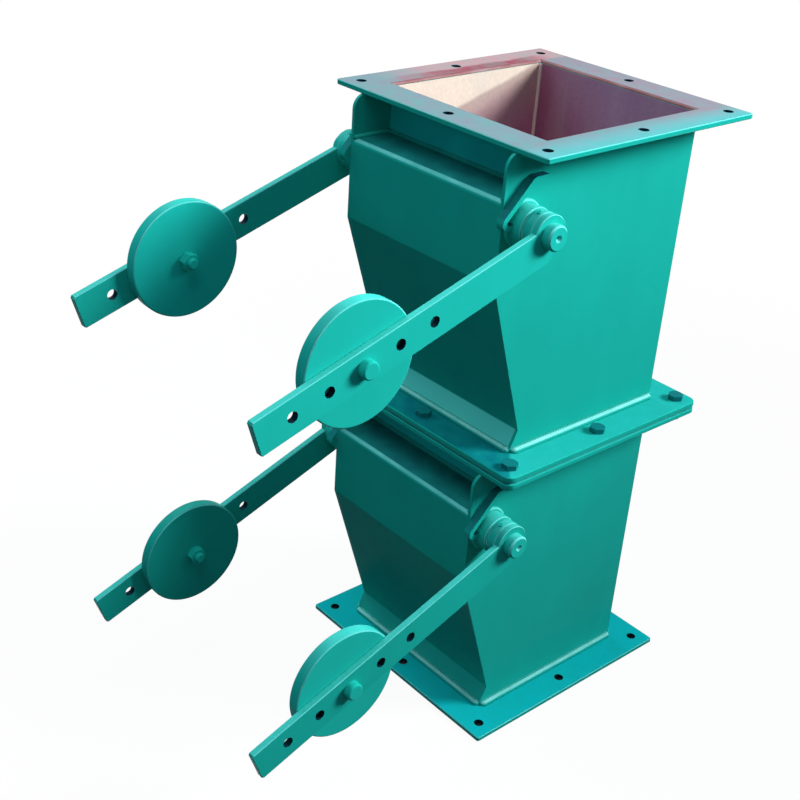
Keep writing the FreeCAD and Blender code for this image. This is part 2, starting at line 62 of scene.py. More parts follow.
# %% [markdown]
# The camera stands to the right of the valve's front and above it, and is turned a few degrees about its
# own axis, as a hand-held one is. Aiming it at a point and then rolling it keeps those two choices apart.

# %% Camera
CAMERA_PLACE = Vector((0.975, -1.077, 1.1166))
CAMERA_AIM = Vector((0.0, -0.184, 0.409))
CAMERA_ROLL = math.radians(4.16)
SENSOR_MM = 36.0
LENS_MM = 58.55

scene = bpy.context.scene
camera = bpy.data.objects.new("camera", bpy.data.cameras.new("camera"))
scene.collection.objects.link(camera)
camera.data.sensor_width = SENSOR_MM
camera.data.lens = LENS_MM
camera.location = CAMERA_PLACE
aim = (CAMERA_AIM - CAMERA_PLACE).to_track_quat("-Z", "Y")
camera.rotation_mode = "QUATERNION"
camera.rotation_quaternion = aim @ Quaternion((0, 0, 1), CAMERA_ROLL)
scene.camera = camera
print("camera", round((CAMERA_AIM - CAMERA_PLACE).length, 3), "m from its aim")

# %% [markdown]
# Materials are trees of shader nodes. Adding each node by hand takes several lines, so one helper adds a
# node and fills its inputs, either with plain values or with the outputs of other nodes.


# %% Helpers: nodes and sums
def fill_inputs(tree, made, fill):
    """Fills a node's inputs with plain values, or links them to other outputs."""
    for key, value in fill.items():
        if isinstance(value, bpy.types.NodeSocket):
            tree.links.new(value, made.inputs[key])
        else:
            made.inputs[key].default_value = value


def node(tree, kind, fill=None, **settings):
    """Adds a shader node, sets its properties and fills its inputs."""
    made = tree.nodes.new("ShaderNode" + kind)
    for key, value in settings.items():
        setattr(made, key, value)
    fill_inputs(tree, made, fill or {})
    return made


def math_node(tree, operation, *values, clamp=False):
    """One arithmetic step on up to three values; gives back its output."""
    made = node(tree, "Math", dict(enumerate(values)), operation=operation, use_clamp=clamp)
    return made.outputs[0]


print("helpers for nodes and sums")

# %% [markdown]
# Most finishes are mixtures: a share of 0 gives the first colour and 1 the second. A ramp makes such a
# share out of a height, a slope or a noise.


# %% Helpers: mixing
def blend_colors(tree, share, first, second):
    """Mixes two colours by a share from 0 to 1, on the Mix node's sockets for colours."""
    return node(tree, "Mix", {0: share, 6: first, 7: second}, data_type="RGBA").outputs[2]


def blend_values(tree, share, first, second):
    """Mixes two numbers by a share from 0 to 1, on the Mix node's sockets for numbers."""
    return node(tree, "Mix", {0: share, 2: first, 3: second}, data_type="FLOAT").outputs[0]


def scale_color(tree, color, level):
    """Multiplies a colour by a number; gives back the result."""
    return node(tree, "VectorMath", {0: color, 1: level}, operation="MULTIPLY").outputs[0]


def ramp(tree, value, start, end):
    """Rises from 0 to 1 while a value goes from start to end, and stays there beyond them."""
    return node(tree, "MapRange", {"Value": value, "From Min": start, "From Max": end}).outputs[0]


print("helpers for mixing")

# %% [markdown]
# Patterns belong to the piece and move with it, so they are worked out from a point's place on the object
# and from the direction in which the face looks there, never from the picture.


# %% Helpers: places and directions
def object_place(tree):
    """The point's place on the object, in metres."""
    return node(tree, "TexCoord").outputs["Object"]


def place_parts(tree):
    """The three numbers of the point's place: to the right, to the rear and up."""
    return node(tree, "SeparateXYZ", {0: object_place(tree)}).outputs


def face_normal(tree):
    """The direction in which the face looks."""
    return node(tree, "TexCoord").outputs["Normal"]


def upward(tree):
    """How much a face looks up: 1 on a level face, 0 on a wall, -1 on an underside."""
    return node(tree, "SeparateXYZ", {0: face_normal(tree)}).outputs[2]


def dot_product(tree, first, second):
    """How far one vector reaches along another; gives back a number."""
    return node(tree, "VectorMath", {0: first, 1: second}, operation="DOT_PRODUCT").outputs["Value"]


def square_reach(tree):
    """How far a point is from the upright middle line, sideways or to front or rear, whichever is more."""
    parts = place_parts(tree)
    sideways = math_node(tree, "ABSOLUTE", parts[0])
    return math_node(tree, "MAXIMUM", sideways, math_node(tree, "ABSOLUTE", parts[1]))


print("helpers for places and directions")

# %% [markdown]
# An effect that several finishes share is a node group. It is built once, with named inputs and outputs,
# and each finish places it with its own values.


# %% Helpers: groups and materials
def effect(name, inputs, outputs):
    """Opens a node group with named sockets; gives back the group, its inputs and its outputs."""
    tree = bpy.data.node_groups.new(name, "ShaderNodeTree")
    for way, sockets in (("INPUT", inputs), ("OUTPUT", outputs)):
        for label, kind in sockets.items():
            tree.interface.new_socket(label, in_out=way, socket_type="NodeSocket" + kind)
    return tree, tree.nodes.new("NodeGroupInput").outputs, tree.nodes.new("NodeGroupOutput").inputs


def put_out(tree, out, values):
    """Links values to the outputs of a node group; gives back the finished group."""
    for label, value in values.items():
        tree.links.new(value, out[label])
    print("effect", tree.name)
    return tree


def use(tree, group, **fill):
    """Places a group in a material; a socket named Dust Share is filled as dust_share."""
    made = node(tree, "Group", node_tree=group)
    fill_inputs(tree, made, {key.replace("_", " ").title(): value for key, value in fill.items()})
    return made.outputs


def finish_material(name):
    """A new material with a plain Principled shader; gives back material, tree and shader."""
    made = bpy.data.materials.new(name)
    made.use_nodes = True
    return made, made.node_tree, made.node_tree.nodes["Principled BSDF"]


print("helpers for groups and materials")

# %% [markdown]
# The floor is one plain, very wide sheet. It lies a hair below the foot, because two faces at the same
# height would flicker.

# %% Floor
FLOOR_HALF = 12.0
FLOOR_DROP = 0.0003

floor_mesh = bpy.data.meshes.new("floor")
corners = FLOOR_HALF * np.array([(-1, -1, 0), (1, -1, 0), (1, 1, 0), (-1, 1, 0)]) - (0, 0, FLOOR_DROP)
floor_mesh.from_pydata(corners, [], [(0, 1, 2, 3)])
floor = bpy.data.objects.new("floor", floor_mesh)
scene.collection.objects.link(floor)
floor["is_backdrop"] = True
print("floor", 2 * FLOOR_HALF, "m wide")

# %% [markdown]
# To the camera, and in reflections, the floor is mostly a white of its own with a faint shadow, and it turns
# wholly white further out, so that it meets the backdrop without a line. Strong light could make it white
# too, but would light the undersides of the valve. For light that bounces off it, it is therefore a dark
# grey, and under the foot flange it stays that grey, so that the bolt holes look as deep as they are.

# %% Floor paint
FLOOR_GREY = (0.06, 0.06, 0.06, 1)
WHITE = (1, 1, 1, 1)
FLOOR_OWN_WHITE = 0.93
FLOOR_NEAR, FLOOR_FAR = 0.5, 1.6
MOUTH_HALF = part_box("lower_side_plate_right")[1].x
RIM_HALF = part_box("lower_outlet_flange")[1].x
RIM_SPARE = 0.002


def seen_directly(tree):
    """1 for rays from the camera, from glossy faces and through glass, and 0 for all others."""
    path = node(tree, "LightPath").outputs
    direct = math_node(tree, "MAXIMUM", path["Is Camera Ray"], path["Is Glossy Ray"])
    return math_node(tree, "MAXIMUM", direct, path["Is Transmission Ray"])


floor_paint = bpy.data.materials.new("floor_paint")
floor_paint.use_nodes = True
tree = floor_paint.node_tree
tree.nodes.clear()
bounce = node(tree, "BsdfDiffuse", {"Color": FLOOR_GREY})
lit = node(tree, "BsdfDiffuse", {"Color": WHITE})
own = node(tree, "Emission", {"Color": WHITE, "Strength": 1.0})
away = node(tree, "VectorMath", {0: object_place(tree)}, operation="LENGTH").outputs["Value"]
white_share = blend_values(tree, ramp(tree, away, FLOOR_NEAR, FLOOR_FAR), FLOOR_OWN_WHITE, 1.0)
shown = node(tree, "MixShader", {0: white_share, 1: lit.outputs[0], 2: own.outputs[0]})
under_rim = math_node(tree, "COMPARE", square_reach(tree), (MOUTH_HALF + RIM_HALF) / 2,
                      (RIM_HALF - MOUTH_HALF) / 2 - RIM_SPARE)
seen_share = math_node(tree, "SUBTRACT", seen_directly(tree), under_rim, clamp=True)
floor_mix = node(tree, "MixShader", {0: seen_share, 1: bounce.outputs[0], 2: shown.outputs[0]})
node(tree, "OutputMaterial", {"Surface": floor_mix.outputs[0]})
floor_mesh.materials.append(floor_paint)
print("floor white near the valve", FLOOR_OWN_WHITE)

# %% [markdown]
# The world works as the floor does: white to look at, but only a gentle, slightly blue light on the paint.
# A strength of 1 is white already, so the pale backdrop takes no extra light on the valve.

# %% World
SKY_LIGHT = (0.165, 0.195, 0.245, 1)

scene.world = bpy.data.worlds.new("studio")
scene.world.use_nodes = True
tree = scene.world.node_tree
tree.nodes.clear()
sky = node(tree, "Background", {"Color": SKY_LIGHT})
backdrop = node(tree, "Background", {"Color": WHITE})
world_mix = node(tree, "MixShader", {0: seen_directly(tree), 1: sky.outputs[0], 2: backdrop.outputs[0]})
node(tree, "OutputWorld", {"Surface": world_mix.outputs[0]})
scene.view_settings.view_transform = "Standard"
print("sky light", SKY_LIGHT[:3])

# %% [markdown]
# Three soft square lamps light the valve. The key lamp stands behind it to the right and lights the right
# side and the upper faces. Its beam is aimed high and narrowed a little, which lets it fade towards the
# foot. A second lamp hangs high over the front, so the upright front faces get some of it and the slopes
# below them hardly any, and a third one fills the left side. A lamp shines along its own -Z axis, so each
# is turned until that axis points at its aim.

# %% Lamps
LAMPS = {  # place, aim and width in metres, watts, beam in degrees
    "key_lamp": ((1.62, 1.80, 1.90), (0.1, -0.35, 1.00), 0.9, 18.5, 60),
    "front_lamp": ((0.20, -1.00, 2.90), (0.0, -0.17, 0.40), 1.6, 20.5, 180),
    "left_lamp": ((-1.90, -0.10, 2.10), (0.0, 0.0, 0.40), 1.6, 28.0, 180),
}
for name, (stand, target, width, watts, beam) in LAMPS.items():
    light = bpy.data.lights.new(name, "AREA")
    light.size = width
    light.energy = watts
    light.spread = math.radians(beam)
    hung = bpy.data.objects.new(name, light)
    hung.location = stand
    hung.rotation_mode = "QUATERNION"
    hung.rotation_quaternion = (Vector(target) - hung.location).to_track_quat("-Z", "Y")
    scene.collection.objects.link(hung)
    print(name, watts, "watts")

# %% [markdown]
# Sprayed enamel is not one flat colour. The film is a little thicker here and thinner there, faint bands
# follow the spray gun's passes, and the skin of the paint has the dimples that painters call orange
# peel. A picture of all that would have to be wrapped round each piece. Noise that follows the place needs no
# wrapping, so one group makes all three from noise of different sizes.


# %% Effect: sprayed film
def noise(tree, place, size, detail=2.0):
    """Soft noise whose lumps are about this many metres across; gives a value near 0.5."""
    return node(tree, "TexNoise", {"Vector": place, "Scale": 1 / size, "Detail": detail}).outputs["Fac"]


def around(tree, value, middle, swing):
    """Turns a noise value near 0.5 into the middle value plus or minus the swing."""
    return math_node(tree, "MULTIPLY_ADD", math_node(tree, "SUBTRACT", value, 0.5), swing, middle)


PEEL_SIZE, PEEL_DETAIL = 0.0032, 1.0
CLOUD_SIZE, CLOUD_DETAIL = 0.11, 3.0
PASS_STRETCH = (30.0, 30.0, 3.5)
PASS_SHARE = 0.35
GLOSS_SWING = 0.16

tree, given, out = effect(
    "sprayed_film",
    {"Color": "Color", "Unevenness": "Float", "Gloss": "Float"},
    {"Color": "Color", "Roughness": "Float", "Height": "Float"})
place = object_place(tree)
clouds = noise(tree, place, CLOUD_SIZE, CLOUD_DETAIL)
passes = node(tree, "Mapping", {"Vector": place, "Scale": PASS_STRETCH}).outputs[0]
thickness = blend_values(tree, PASS_SHARE, clouds, noise(tree, passes, 1.0))
level = around(tree, thickness, 1.0, given["Unevenness"])
sprayed_film = put_out(tree, out, {
    "Color": scale_color(tree, given["Color"], level),
    "Roughness": around(tree, clouds, given["Gloss"], GLOSS_SWING),
    "Height": noise(tree, place, PEEL_SIZE, PEEL_DETAIL)})

# %% [markdown]
# Inside the duct the steel has only a flat red-brown primer, scoured and dusted by the goods that fall
# through. Its stains run downwards, so that noise is stretched along the height.

# %% Effect: scoured primer
STAIN_STRETCH = (26.0, 26.0, 5.0)
STAIN_DETAIL = 4.0
STAIN_START, STAIN_END = 0.42, 0.68
SPECK_SIZE = 0.004
SPECK_SWING = 0.25
PRIMER_ROUGH, PRIMER_ROUGH_SWING = 0.62, 0.3

tree, given, out = effect(
    "scoured_primer",
    {"Color": "Color", "Dust": "Color", "Dust Share": "Float"},
    {"Color": "Color", "Roughness": "Float", "Height": "Float"})
place = object_place(tree)
stretched = node(tree, "Mapping", {"Vector": place, "Scale": STAIN_STRETCH}).outputs[0]
stains = noise(tree, stretched, 1.0, STAIN_DETAIL)
specks = noise(tree, place, SPECK_SIZE)
strong = ramp(tree, stains, STAIN_START, STAIN_END)
share = math_node(tree, "MULTIPLY", strong, given["Dust Share"])
dusted = blend_colors(tree, share, given["Color"], given["Dust"])
scoured_primer = put_out(tree, out, {
    "Color": scale_color(tree, dusted, around(tree, specks, 1.0, SPECK_SWING)),
    "Roughness": around(tree, stains, PRIMER_ROUGH, PRIMER_ROUGH_SWING),
    "Height": specks})

# %% [markdown]
# One sheet carries both coats: enamel outside, primer inside. Its faces could be picked by hand, but a mask
# tells them apart by rule. A point is inside where it lies within the duct's square, or where its face
# looks along a given direction, which the bent front sheet needs because it leaves that square.

# %% Effect: lining mask
FACING_LEAST = 0.1

tree, given, out = effect(
    "lining_mask",
    {"Half Width": "Float", "Inward": "Vector"},
    {"Mask": "Float"})
facing = dot_product(tree, face_normal(tree), given["Inward"])
within = math_node(tree, "LESS_THAN", square_reach(tree), given["Half Width"])
inward = math_node(tree, "GREATER_THAN", facing, FACING_LEAST)
lining_mask = put_out(tree, out, {"Mask": math_node(tree, "MAXIMUM", within, inward)})

# %% [markdown]
# Dust and grime settle on faces that look up, and some finishes use the same group to paint light or shade on
# such faces. The group changes a colour there, in patches, and leaves walls and undersides alone. Its level
# input says how far a face may lean and still hold any.

# %% Effect: settled dust and painted light
PATCH_SIZE, PATCH_DETAIL = 0.02, 4.0
PATCH_SWING = 0.9

tree, given, out = effect(
    "settled_dust_and_painted_light",
    {"Color": "Color", "Dust": "Color", "Level": "Float", "Amount": "Float"},
    {"Color": "Color"})
spots = noise(tree, object_place(tree), PATCH_SIZE, PATCH_DETAIL)
patches = around(tree, spots, 1.0, PATCH_SWING)
level_share = ramp(tree, upward(tree), given["Level"], 1.0)
lying = math_node(tree, "MULTIPLY", level_share, patches)
mask = math_node(tree, "MULTIPLY", lying, given["Amount"], clamp=True)
settled_dust_and_painted_light = put_out(tree, out, {"Color": blend_colors(tree, mask, given["Color"], given["Dust"])})

# %% [markdown]
# Bevels and bends that look up or sideways get a paler colour, in patches: a painted highlight where light
# would glint on a rounded edge. On a plate, the faces that lie aslant to the plate's own axis are its bevels
# and bends, so the normal finds them. Edges that look down get none, because they face away from the light.

# %% Effect: painted edge highlights
SLANT_START, SLANT_FULL = 0.40, 0.58
SLANT_FADE, SLANT_END = 0.90, 0.97
HIGHLIGHT_FROM, HIGHLIGHT_WHOLLY = -0.5, 0.3
HIGHLIGHT_SPOT_SIZE, HIGHLIGHT_SPOT_DETAIL = 0.03, 3.0
HIGHLIGHT_SPOT_SWING = 1.2

tree, given, out = effect(
    "rubbed_edges",
    {"Color": "Color", "Rubbed": "Color", "Axis": "Vector", "Amount": "Float"},
    {"Color": "Color"})
along = dot_product(tree, face_normal(tree), given["Axis"])
slant = math_node(tree, "ABSOLUTE", along)
bevel = math_node(tree, "MULTIPLY", ramp(tree, slant, SLANT_START, SLANT_FULL),
                  ramp(tree, slant, SLANT_END, SLANT_FADE))
facing_up = ramp(tree, upward(tree), HIGHLIGHT_FROM, HIGHLIGHT_WHOLLY)
open_edge = math_node(tree, "MULTIPLY", bevel, facing_up)
spots = noise(tree, object_place(tree), HIGHLIGHT_SPOT_SIZE, HIGHLIGHT_SPOT_DETAIL)
highlight_share = math_node(tree, "MULTIPLY", open_edge, around(tree, spots, 1.0, HIGHLIGHT_SPOT_SWING))
mask = math_node(tree, "MULTIPLY", highlight_share, given["Amount"], clamp=True)
rubbed_edges = put_out(tree, out, {"Color": blend_colors(tree, mask, given["Color"], given["Rubbed"])})

# %% [markdown]
# The walls of bolt holes are painted nearly black, a painted shade that stands for the depth of the hole. The
# walls of holes look across the hole's own direction, as a plate's rim does, so a second measure tells them
# from the rim: on a flange all holes lie round one square, and on a lever they lie on its middle line.

# %% Effect: bore mask
BORE_REACH = 0.0068
BORE_FACING = 0.5

tree, given, out = effect(
    "bore_mask",
    {"Measure": "Float", "Middle": "Float", "Axis": "Vector"},
    {"Mask": "Float"})
along = dot_product(tree, face_normal(tree), given["Axis"])
across_hole = math_node(tree, "COMPARE", along, 0.0, BORE_FACING)
near = math_node(tree, "COMPARE", given["Measure"], given["Middle"], BORE_REACH)
bore_mask = put_out(tree, out, {"Mask": math_node(tree, "MULTIPLY", across_hole, near)})

# %% [markdown]
# The holes take their places from the solids: the washers of the middle joint sit on the square of flange
# holes, and a weight's nut sits on its lever's middle line.

# %% Walls of the holes
WASHER_RADIUS = 0.010
HOLE_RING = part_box("joint_washers")[1].x - WASHER_RADIUS
LEVER_DROP = {"lower": math.radians(20.5), "upper": math.radians(17.5)}
LEVER_ENDS = 0.03
ACROSS, UPRIGHT = (1, 0, 0), (0, 0, 1)


def flange_bores(tree):
    """1 on the walls of a flange's holes, which lie round a square, and 0 elsewhere."""
    return use(tree, bore_mask, measure=square_reach(tree), middle=HOLE_RING, axis=UPRIGHT)["Mask"]


def lever_bores(tree, stage):
    """1 on the walls of the holes along a lever's middle line, away from the lever's two ends."""
    low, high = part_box(stage + "_lever_right")
    nut_low, nut_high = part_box(stage + "_weight_nuts")
    across = Vector((0, -math.sin(LEVER_DROP[stage]), math.cos(LEVER_DROP[stage])))
    rise = dot_product(tree, object_place(tree), across)
    middle_line = across.dot(nut_low + nut_high) / 2
    walls = use(tree, bore_mask, measure=rise, middle=middle_line, axis=ACROSS)["Mask"]
    between = math_node(tree, "COMPARE", place_parts(tree)[1], (low.y + high.y) / 2,
                        (high.y - low.y) / 2 - LEVER_ENDS)
    return math_node(tree, "MULTIPLY", walls, between)


print("flange holes", round(1000 * HOLE_RING, 1), "mm from the middle")

# %% [markdown]
# What lies on a flange's level faces is not the same all round; it is partly dust and partly painted sky
# reflection. The film on the inlet flange is chalky at the front, lilac at the rear and pale blue at the
# right, and to the left of the mouth it is pink and the red primer shows through. On the middle joint the
# level faces get a paler teal, a painted reflection, and the front arm is dark with painted shade where the
# casing's shadow falls. Each film is a colour worked out from the place, with ramps to go from one to the
# next.

# %% Films on the flanges
CHALK_AND_SHEEN = (0.200, 0.262, 0.315, 1)
LILAC = (0.275, 0.212, 0.275, 1)
PALE_BLUE = (0.190, 0.400, 0.505, 1)
PINK_FILM = (0.480, 0.265, 0.300, 1)
BARE_RED = (0.315, 0.045, 0.085, 1)
REAR_FILM = (0.0, 0.125)
RIGHT_BAND = (0.128, 0.160)
LEFT_FILM = (-0.116, -0.124)
LEFT_FROM = (-0.125, -0.030)
BARE_TO = (0.145, 0.100)
BARE_STRIP = (-0.141, -0.135)
BARE_SIZE, BARE_DETAIL, BARE_SWING = 0.03, 3.0, 0.014
JOINT_SHEEN = (0.020, 0.520, 0.475, 1)
JOINT_ARM_SHADE = (0.002, 0.176, 0.220, 1)
FRONT_ARM = (0.003, -0.003)


def mouth_dust_and_sheen(tree, parts):
    """What lies on the inlet flange's level faces: four films by place, partly dust and partly painted sky
    reflection, and bare red in a ragged strip by the mouth.
    """
    film = blend_colors(tree, ramp(tree, parts[1], *REAR_FILM), CHALK_AND_SHEEN, LILAC)
    film = blend_colors(tree, ramp(tree, parts[0], *RIGHT_BAND), film, PALE_BLUE)
    left = math_node(tree, "MULTIPLY", ramp(tree, parts[0], *LEFT_FILM), ramp(tree, parts[1], *LEFT_FROM))
    film = blend_colors(tree, left, film, PINK_FILM)
    spots = noise(tree, object_place(tree), BARE_SIZE, BARE_DETAIL)
    ragged = around(tree, spots, parts[0], BARE_SWING)
    strip = math_node(tree, "MULTIPLY", ramp(tree, ragged, *BARE_STRIP), ramp(tree, parts[1], *BARE_TO))
    return blend_colors(tree, math_node(tree, "MULTIPLY", left, strip), film, BARE_RED)


def joint_sheen_and_shade(tree, parts):
    """On the flanges of the middle joint: a paler teal on level faces, a painted sky reflection, and painted
    shade on the front arm, where the casing's shadow falls.
    """
    behind = math_node(tree, "ADD", parts[1], math_node(tree, "ABSOLUTE", parts[0]))
    return blend_colors(tree, ramp(tree, behind, *FRONT_ARM), JOINT_SHEEN, JOINT_ARM_SHADE)


print("films for the inlet flange and the middle joint")

# %% [markdown]
# Every finish ends alike: colour and roughness go to the Principled shader, and a height becomes relief
# through a Bump node. Relief could be modelled, but at hundredths of a millimetre only light shows it.

# %% Helper: feed the shader
PEEL_DEPTH = 0.00004


def connect(tree, shader, color, rough, height, strength=1.0):
    """Feeds colour, roughness and a fine relief to the shader."""
    bump = node(tree, "Bump", {"Height": height, "Distance": PEEL_DEPTH, "Strength": strength})
    fill_inputs(tree, shader, {"Base Color": color, "Roughness": rough, "Normal": bump.outputs[0]})


print("relief of", 1000 * PEEL_DEPTH, "mm")

# %% [markdown]
# The primer's colour can change in steps along a direction, up a wall or across it; on the upper left wall
# the steps paint a pool of light with a shadow edge. A picture could show that, but it would have to be
# painted for each wall. Here each step is a colour and the two places between which it comes in, and noise
# makes the edge a little ragged.

# %% Steps along a direction
RAGGED_SIZE, RAGGED_SWING = 0.05, 0.005


def primer_color(tree, primed, color_steps):
    """The primer's own colour, turned into each step's colour between its two places along a direction."""
    if not color_steps:
        return primed
    direction, steps = color_steps
    ragged = around(tree, noise(tree, object_place(tree), RAGGED_SIZE), 0.0, RAGGED_SWING)
    run = math_node(tree, "ADD", dot_product(tree, object_place(tree), direction), ragged)
    color = primed
    for step_color, start, end in steps:
        color = blend_colors(tree, ramp(tree, run, start, end), color, step_color)
    return color


print("edges ragged by", 1000 * RAGGED_SWING, "mm")

# %% [markdown]
# The enamel itself. Base colour, roughness and height come from the groups, and what is the same all over,
# such as how strongly the film mirrors, is set on the shader. A low index keeps a face seen head-on deep
# in colour, while faces seen at a slant still mirror the room. The same function lays the primer on the
# faces inside the duct, so that one material can cover both sides of a sheet.

# %% Enamel
TEAL = (0.010, 0.445, 0.372, 1)
EDGE_HIGHLIGHT_TEAL = (0.170, 0.760, 0.730, 1)
OXIDE = (0.230, 0.076, 0.080, 1)
DUST = (0.48, 0.49, 0.54, 1)
DUST_TRACE = 0.04
# Hole walls are painted this near-black colour, a painted shade.
BORE_SHADE = (0.004, 0.035, 0.055, 1)
PALE_FOOT_TEAL = (0.105, 0.780, 0.700, 1)
PALE_FOOT_BLUR = 0.001
ENAMEL_INDEX = 1.05
ENAMEL_UNEVEN = 0.30
ENAMEL_GLOSS = 0.26
EDGE_HIGHLIGHT_SHARE = 0.75
RIGHT_BAND_LOSS = 0.38
WALL_DUST = 0.16
LYING_LEVEL = 0.6
NO_WAY = (0, 0, 0)


def enamel(name, color, half=0.0, inward=NO_WAY, axis=NO_WAY, rubbed=EDGE_HIGHLIGHT_TEAL, lying=DUST,
           level=LYING_LEVEL, amount=DUST_TRACE, right_band=None, pale_below=None, primed=OXIDE, color_steps=None, bores=None,
           index=ENAMEL_INDEX):
    """Gloss enamel, with scoured primer on the faces inside the duct.

    Bevels and bends aslant to the axis get a painted highlight, and lying is the colour laid on level faces:
    dust in some finishes, painted light or shade in others, or a function that makes it; between the two
    places that wash gives from left to right, some of it is lost. Below the height that splash gives, the
    sheet turns a paler teal.
    Where bores gives a mask of hole walls, these are painted dark as shade. Faces within half, or that look
    inward, have primer, which scour may change.
    """
    made, tree, shader = finish_material(name)
    film = use(tree, sprayed_film, color=color, unevenness=ENAMEL_UNEVEN, gloss=ENAMEL_GLOSS)
    parts = place_parts(tree)
    if right_band:
        amount = math_node(tree, "MULTIPLY_ADD", ramp(tree, parts[0], *right_band), -RIGHT_BAND_LOSS, amount)
    lying = lying(tree, parts) if callable(lying) else lying
    dusty = use(tree, settled_dust_and_painted_light, color=film["Color"], dust=lying, level=level, amount=amount)
    outer = use(tree, rubbed_edges, color=dusty["Color"], rubbed=rubbed, axis=axis, amount=EDGE_HIGHLIGHT_SHARE)["Color"]
    if pale_below:
        below_foot = ramp(tree, parts[2], pale_below + PALE_FOOT_BLUR, pale_below - PALE_FOOT_BLUR)
        outer = blend_colors(tree, below_foot, outer, PALE_FOOT_TEAL)
    if bores:
        outer = blend_colors(tree, bores(tree), outer, BORE_SHADE)
    coat = use(tree, scoured_primer, color=primer_color(tree, primed, color_steps), dust=DUST, dust_share=WALL_DUST)
    mask = use(tree, lining_mask, half_width=half, inward=inward)["Mask"]
    connect(tree, shader, blend_colors(tree, mask, outer, coat["Color"]),
            blend_values(tree, mask, film["Roughness"], coat["Roughness"]),
            blend_values(tree, mask, film["Height"], coat["Height"]))
    shader.inputs["IOR"].default_value = index
    return made


print("enamel of index", ENAMEL_INDEX)

# %% [markdown]
# The sheets. The primer of the upper left wall carries a painted pool of light above a slanting line, with a
# painted shadow edge along that line and a half-lit fade below it, and the rose beneath is painted paler to
# lift the shade there; the rear wall's primer turns from wine to mauve towards the upper right. The front
# sheet has painted shade on its ledge under the flange and a still lower index, because its slope leans over
# the white floor and would mirror it, and the upper one is paler below a height at its foot. The neck plates
# lie deep in the flanges' shade, and a paler enamel, painted light, makes up for some of that.

# %% Finishes: sheets
NECK_TEAL = (0.012, 0.700, 0.650, 1)
# This dark teal is painted shade: on the front sheet's ledge under the flange, and on the faces of the
# bearing brackets that look up.
SHADE_TEAL = (0.010, 0.100, 0.135, 1)
LEDGE_SHADE_SHARE = 0.65
WINE = (0.265, 0.090, 0.165, 1)
# The upper left wall's primer carries a painted pool of light above a slanting line, a painted shadow edge
# along it, a half-lit fade below, and a rose painted paler to lift the shade beneath.
LIFTED_ROSE = (0.500, 0.185, 0.310, 1)
HALF_LIT_PRIMER = (0.480, 0.375, 0.320, 1)
LIT_PRIMER = (0.79, 0.695, 0.580, 1)
MAUVE = (0.310, 0.210, 0.360, 1)
SHADOW_EDGE_WAY, SHADOW_EDGE_DROP = (0.0, -0.296, 1.0), 0.0356
PAINTED_SHADOW_LINE = cad_high.z - SHADOW_EDGE_DROP
SHADOW_EDGE_BLUR, SHADOW_FADE = 0.0025, 0.075
MAUVE_WAY, MAUVE_START, MAUVE_END = (1.0, 0.0, 0.5), 0.24, 0.36
SHADED_INDEX = 1.025
PALE_FOOT_RISE = 0.026
SKIN = 0.0002
SHEET_HALF = -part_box("upper_rear_plate")[0].x + SKIN
FRONT_SHEET = {"inward": (0.0, 1.0, -0.2), "axis": UPRIGHT, "lying": SHADE_TEAL, "amount": LEDGE_SHADE_SHARE,
               "index": SHADED_INDEX}
PAINTED_LIGHT_STEPS = [(HALF_LIT_PRIMER, PAINTED_SHADOW_LINE - SHADOW_FADE, PAINTED_SHADOW_LINE),
               (LIT_PRIMER, PAINTED_SHADOW_LINE - SHADOW_EDGE_BLUR, PAINTED_SHADOW_LINE + SHADOW_EDGE_BLUR)]

sheet_enamel = enamel("sheet_enamel", TEAL, half=SHEET_HALF)
neck_enamel = enamel("neck_enamel", NECK_TEAL, half=SHEET_HALF)
lit_wall_enamel = enamel("lit_wall_enamel", TEAL, half=SHEET_HALF, primed=LIFTED_ROSE, color_steps=(SHADOW_EDGE_WAY, PAINTED_LIGHT_STEPS))
mauve_rear_enamel = enamel("mauve_rear_enamel", TEAL, half=SHEET_HALF, primed=WINE,
                     color_steps=(MAUVE_WAY, [(MAUVE, MAUVE_START, MAUVE_END)]))
front_enamel = enamel("front_enamel", TEAL, **FRONT_SHEET)
pale_foot_enamel = enamel("pale_foot_enamel", TEAL, pale_below=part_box("upper_outlet_flange")[1].z + PALE_FOOT_RISE,
                         **FRONT_SHEET)
print("sheets, with primer within", round(1000 * SHEET_HALF, 1), "mm of the middle")

# %% [markdown]
# The flanges. Those of the middle joint and the foot have the low index of the front sheet, because they lie
# level under the white backdrop. The foot's level faces have a lighter, bluish teal, a painted sky
# reflection, and the walls of its bolt holes and those of the inlet flange are painted dark as shade.

# %% Finishes: flanges
FOOT_SHEEN = (0.003, 0.550, 0.620, 1)
LEVER_TEAL = (0.013, 0.520, 0.440, 1)
JOINT_AMOUNT, FOOT_AMOUNT, MOUTH_AMOUNT = 0.8, 0.7, 0.85
FLANGE_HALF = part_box("upper_side_plate_right")[1].x + SKIN

flange_enamel = enamel("flange_enamel", TEAL, half=FLANGE_HALF, axis=UPRIGHT, rubbed=LEVER_TEAL,
                       lying=joint_sheen_and_shade, amount=JOINT_AMOUNT, index=SHADED_INDEX)
foot_enamel = enamel("foot_enamel", TEAL, half=FLANGE_HALF, axis=UPRIGHT, lying=FOOT_SHEEN,
                     amount=FOOT_AMOUNT, bores=flange_bores, index=SHADED_INDEX)
weathered_sheen_enamel = enamel("weathered_sheen_enamel", TEAL, half=FLANGE_HALF, axis=UPRIGHT, lying=mouth_dust_and_sheen,
                          amount=MOUTH_AMOUNT, right_band=RIGHT_BAND, bores=flange_bores)
print("flanges, with primer within", round(1000 * FLANGE_HALF, 1), "mm of the middle")

# %% [markdown]
# Levers, discs, bolts and welds. The faces of the levers that look up get a paler teal, a painted highlight.
# The bearing brackets get painted shade even on steep faces that look up, and the ridges of the flange welds
# get the palest painted highlight of all.

